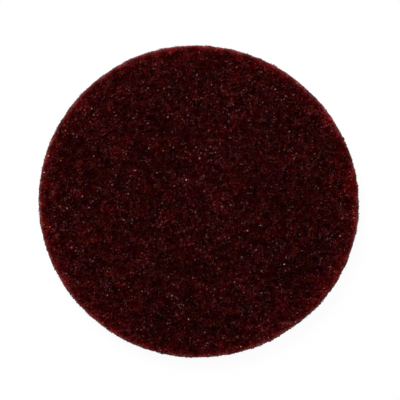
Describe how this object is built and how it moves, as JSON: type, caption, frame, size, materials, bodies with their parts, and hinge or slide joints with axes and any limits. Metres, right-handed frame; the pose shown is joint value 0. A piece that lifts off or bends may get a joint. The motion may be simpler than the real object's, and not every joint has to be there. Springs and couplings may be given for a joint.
{
  "type": "surface conditioning disc",
  "caption": "Round surface conditioning disc die-cut from a thick matted abrasive fibre web, with a rough working face, a ragged cut rim and a flat back that grips a hook-faced pad.",
  "frame": {"origin": "middle of the flat back, at the centre of the outline's box", "axes": "+Z out of the working face, -Z out of the back towards the backing pad; +X along the picture's horizontal, +Y along its vertical"},
  "size_m": [0.1164, 0.1134, 0.006],
  "materials": {
    "abrasive_web": "dark maroon matted fibre coated with resin and fine abrasive grain, rough, with a sparkle of bare grain"
  },
  "bodies": {
    "root": {"conditioning_disc": "abrasive_web"}
  },
  "joints": []
}
